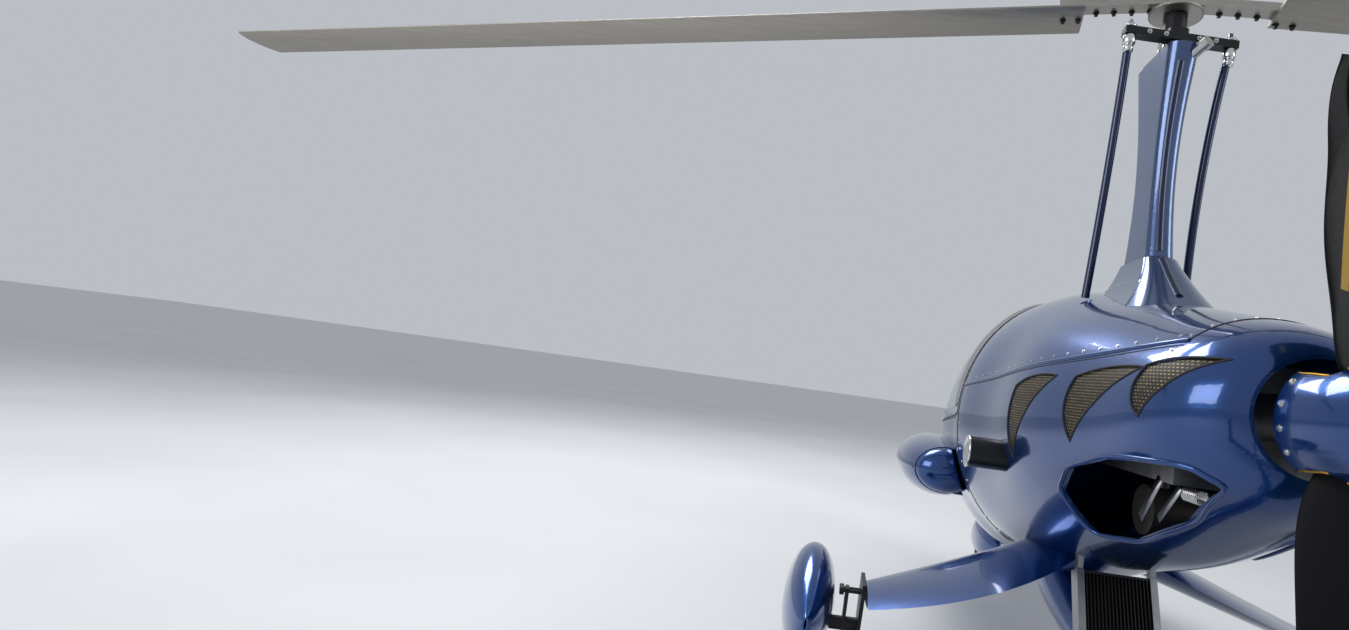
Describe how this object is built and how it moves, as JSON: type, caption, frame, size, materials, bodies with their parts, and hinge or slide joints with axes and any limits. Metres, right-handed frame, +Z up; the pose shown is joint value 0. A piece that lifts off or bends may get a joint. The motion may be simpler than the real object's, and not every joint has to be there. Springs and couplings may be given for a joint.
{
  "type": "gyrocopter",
  "caption": "Enclosed tandem gyrocopter with a free-turning rotor, pusher propeller, tilting canopy, steered nose wheel and spatted main wheels.",
  "frame": {"origin": "middle of the footprint box, on the ground under the wheels", "axes": "+Z up, -Y towards the nose, +X towards the port side"},
  "size_m": [8.3072, 5.2, 2.6499],
  "materials": {
    "blue_paint": "metallic clear coat",
    "blue_grey_paint": "satin",
    "dark_blue_tube": "satin",
    "canopy_tint": "clear",
    "woven_mesh": "woven",
    "black_metal": "satin",
    "aluminium": "satin",
    "engine_alloy": "matte",
    "steel": "satin",
    "muffler_grey": "matte",
    "floor_paint": "matte",
    "carbon_black": "gloss",
    "radiator_black": "matte",
    "radiator_grey": "satin",
    "seat_cover": "matte",
    "panel_black": "matte",
    "tyre_rubber": "matte"
  },
  "bodies": {
    "airframe": {"air_filters": "black_metal", "axle_left": "black_metal", "axle_right": "black_metal", "cabin_floor": "floor_paint", "cabin_shell": "blue_paint", "centre_fin": "blue_paint", "control_rod_left": "dark_blue_tube", "control_rod_right": "dark_blue_tube", "end_fin_left": "blue_paint", "end_fin_right": "blue_paint", "engine_block": "engine_alloy", "engine_cowl": "blue_paint", "gear_leg_left": "blue_paint", "gear_leg_right": "blue_paint", "gill_grilles": "woven_mesh", "hump_cover": "blue_paint", "instrument_panel": "panel_black", "mast_collar": "blue_grey_paint", "mast_fairing": "blue_grey_paint", "mast_stub": "aluminium", "muffler": "muffler_grey", "radiator_core": "radiator_black", "radiator_tanks": "radiator_grey", "rotor_head": "black_metal", "seat_front": "seat_cover", "seat_rear": "seat_cover", "side_pods": "blue_paint", "spat_left": "blue_paint", "spat_right": "blue_paint", "stabiliser": "blue_paint", "strut_housing": "black_metal", "tail_boom": "blue_paint"},
    "canopy": {"canopy_frame": "blue_paint", "canopy_glass": "canopy_tint"},
    "rotor": {"rotor_hub": "aluminium", "rotor_blade_left": "aluminium", "rotor_blade_right": "aluminium"},
    "propeller": {"prop_hub": "aluminium", "prop_blades": "carbon_black", "spinner": "blue_paint"},
    "wheel_left": {"tyre_left": "tyre_rubber", "rim_left": "aluminium"},
    "wheel_right": {"tyre_right": "tyre_rubber", "rim_right": "aluminium"},
    "nose_gear": {"nose_fork": "steel", "nose_spat": "blue_paint"},
    "nose_wheel": {"nose_tyre": "tyre_rubber", "nose_rim": "aluminium"},
    "rudder": {"rudder": "blue_paint"}
  },
  "joints": [
    {"name": "rotor_spin", "type": "hinge", "parent": "airframe", "child": "rotor", "pos_m": [0, -0.075, 2.61], "axis": [0, 0, 1], "continuous": true},
    {"name": "propeller_spin", "type": "hinge", "parent": "airframe", "child": "propeller", "pos_m": [0, 0.905, 1.115], "axis": [0, 1, 0], "continuous": true},
    {"name": "wheel_left_spin", "type": "hinge", "parent": "airframe", "child": "wheel_left", "pos_m": [1.046, -0.24, 0.2], "axis": [1, 0, 0], "continuous": true},
    {"name": "wheel_right_spin", "type": "hinge", "parent": "airframe", "child": "wheel_right", "pos_m": [-1.046, -0.24, 0.2], "axis": [1, 0, 0], "continuous": true},
    {"name": "nose_steering", "type": "hinge", "parent": "airframe", "child": "nose_gear", "pos_m": [0, -2.05, 0.4], "axis": [0, 0, 1], "range_deg": [-25, 25]},
    {"name": "nose_wheel_spin", "type": "hinge", "parent": "nose_gear", "child": "nose_wheel", "pos_m": [0, -2.01, 0.17], "axis": [1, 0, 0], "continuous": true},
    {"name": "rudder_swing", "type": "hinge", "parent": "airframe", "child": "rudder", "pos_m": [0, 2.4, 0.8], "axis": [0, 0, 1], "range_deg": [-25, 25]},
    {"name": "canopy_hinge", "type": "hinge", "parent": "airframe", "child": "canopy", "pos_m": [-0.486, -0.98, 0.97], "axis": [0.0592, -0.9939, -0.093], "range_deg": [0, 75]}
  ]
}
